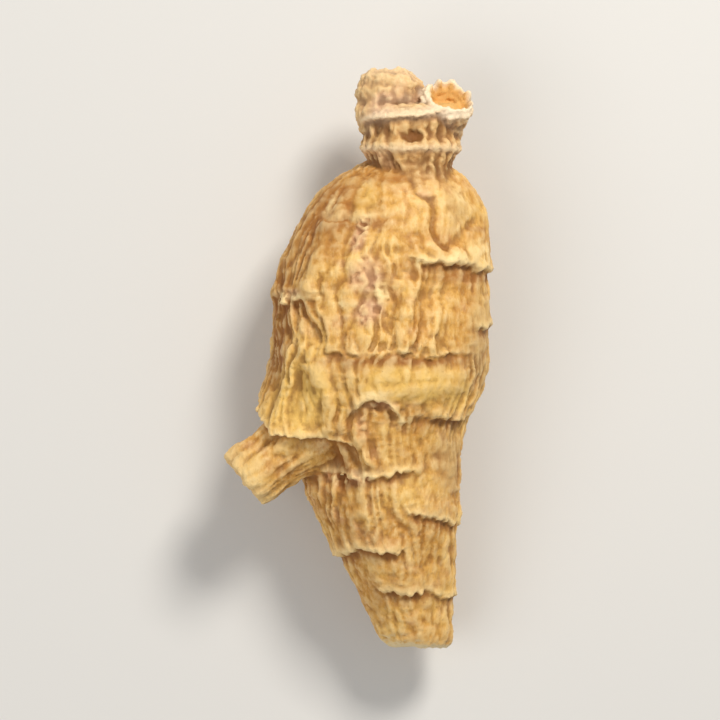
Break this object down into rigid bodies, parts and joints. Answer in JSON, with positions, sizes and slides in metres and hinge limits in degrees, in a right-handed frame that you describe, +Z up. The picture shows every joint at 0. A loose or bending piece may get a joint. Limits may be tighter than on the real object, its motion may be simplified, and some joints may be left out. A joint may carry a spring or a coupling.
{
  "type": "ginseng root",
  "caption": "Whole dried ginseng root with wrinkled skin, a scarred crown, one short side root and a cut tail, lying on its back.",
  "frame": {"origin": "the middle of the flat spot on the root's back that it rests on, under its centre of mass", "axes": "+Y along the root towards its crown, +Z up out of the surface it lies on, +X to the right seen from above with the crown away from the viewer"},
  "size_m": [0.0244, 0.0535, 0.0171],
  "materials": {
    "root_skin": "dry, wrinkled, matt to faintly waxy"
  },
  "bodies": {
    "root": {"ginseng_root": "root_skin"}
  },
  "joints": []
}
